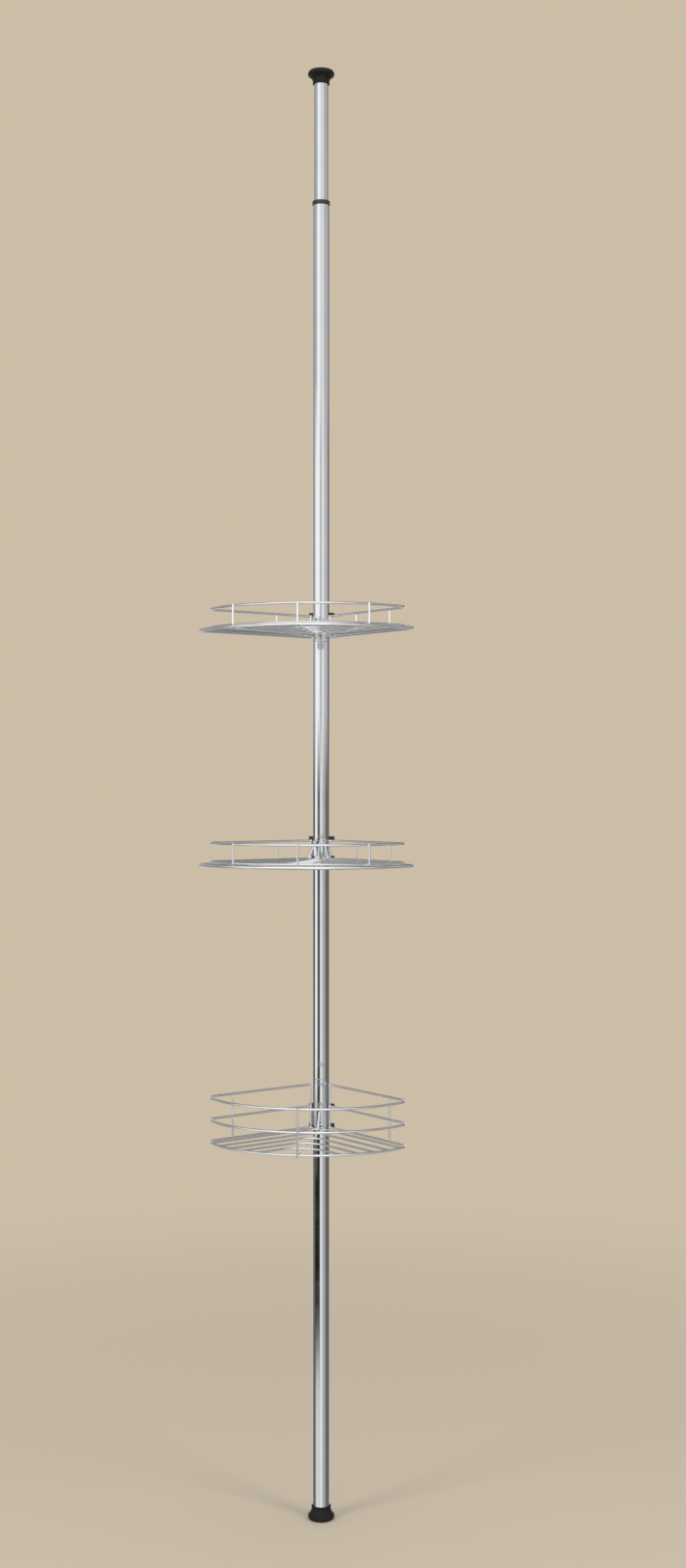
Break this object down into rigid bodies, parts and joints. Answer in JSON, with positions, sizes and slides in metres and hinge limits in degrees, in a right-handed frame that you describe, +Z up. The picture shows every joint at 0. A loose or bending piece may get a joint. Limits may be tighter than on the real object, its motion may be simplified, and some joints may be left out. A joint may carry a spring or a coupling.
{
  "type": "tension pole shelf unit",
  "caption": "Sprung corner pole, floor to ceiling, with fan-shaped chrome wire trays and a deeper wire basket that slide and swivel on black clamps.",
  "frame": {"origin": "on the pole's axis, at the underside of the foot", "axes": "+Z up along the pole; -Y out of the corner, towards the shelves' rounded fronts; X across, the walls of the corner at 45 degrees to it"},
  "size_m": [0.3132, 0.2645, 2.193],
  "materials": {
    "chrome": "polished chrome plate",
    "rubber": "matt black",
    "black_plastic": "moulded, lightly grained",
    "plug_plastic": "moulded, plain",
    "plain_steel": "plain zinc-plated",
    "spring_steel": "plain drawn wire"
  },
  "bodies": {
    "pole": {"foot_pad": "rubber", "foot_plug": "plug_plastic", "lower_tube": "chrome", "lower_coupler": "plain_steel", "middle_tube": "chrome", "upper_coupler": "plain_steel", "upper_tube": "chrome", "guide_bushing": "black_plastic"},
    "lock_sleeve": {"lock_sleeve": "plug_plastic"},
    "lock_core": {"lock_cam": "plug_plastic", "lock_screw": "plain_steel", "tension_rod": "plain_steel", "tension_spring": "spring_steel"},
    "stem": {"stem_tube": "chrome", "spring_stop": "plug_plastic", "ceiling_plug": "plug_plastic", "ceiling_pad": "rubber"},
    "top_clamp": {"top_clamp_left": "black_plastic", "top_clamp_right": "black_plastic"},
    "top_shelf": {"top_collar": "chrome", "top_outer_rim": "chrome", "top_floor_frame": "chrome", "top_floor_wires": "chrome", "top_supports": "chrome", "top_guard_rail": "chrome", "top_uprights": "chrome"},
    "middle_clamp": {"middle_clamp_left": "black_plastic", "middle_clamp_right": "black_plastic"},
    "middle_shelf": {"middle_collar": "chrome", "middle_outer_rim": "chrome", "middle_floor_frame": "chrome", "middle_floor_wires": "chrome", "middle_supports": "chrome", "middle_guard_rail": "chrome", "middle_uprights": "chrome"},
    "bottom_clamp": {"bottom_clamp_left": "black_plastic", "bottom_clamp_right": "black_plastic"},
    "bottom_shelf": {"bottom_collar": "chrome", "bottom_floor_frame": "chrome", "bottom_floor_wires": "chrome", "bottom_supports": "chrome", "bottom_mid_rail": "chrome", "bottom_guard_rail": "chrome", "bottom_uprights": "chrome"}
  },
  "joints": [
    {"name": "height_slide", "type": "slide", "parent": "pole", "child": "lock_sleeve", "axis": [0, 0, 1], "range_m": [-0.1, 0.26]},
    {"name": "twist_lock", "type": "hinge", "parent": "lock_sleeve", "child": "lock_core", "pos_m": [0, 0, 1.596], "axis": [0, 0, 1], "range_deg": [-120, 0]},
    {"name": "tension_slide", "type": "slide", "parent": "lock_core", "child": "stem", "axis": [0, 0, 1], "range_m": [-0.04, 0], "stiffness_N_per_m": 1500, "springref_m": 0.01, "deforming": ["tension_spring"]},
    {"name": "top_height", "type": "slide", "parent": "pole", "child": "top_clamp", "axis": [0, 0, 1], "range_m": [-0.14, 0.6]},
    {"name": "top_swivel", "type": "hinge", "parent": "top_clamp", "child": "top_shelf", "pos_m": [0, 0, 1.3551], "axis": [0, 0, 1], "range_deg": [-25, 25]},
    {"name": "middle_height", "type": "slide", "parent": "pole", "child": "middle_clamp", "axis": [0, 0, 1], "range_m": [-0.15, 0.14]},
    {"name": "middle_swivel", "type": "hinge", "parent": "middle_clamp", "child": "middle_shelf", "pos_m": [0, 0, 1.0161], "axis": [0, 0, 1], "range_deg": [-25, 25]},
    {"name": "bottom_height", "type": "slide", "parent": "pole", "child": "bottom_clamp", "axis": [0, 0, 1], "range_m": [-0.55, 0.15]},
    {"name": "bottom_swivel", "type": "hinge", "parent": "bottom_clamp", "child": "bottom_shelf", "pos_m": [0, 0, 0.6099], "axis": [0, 0, 1], "range_deg": [-25, 25]}
  ]
}
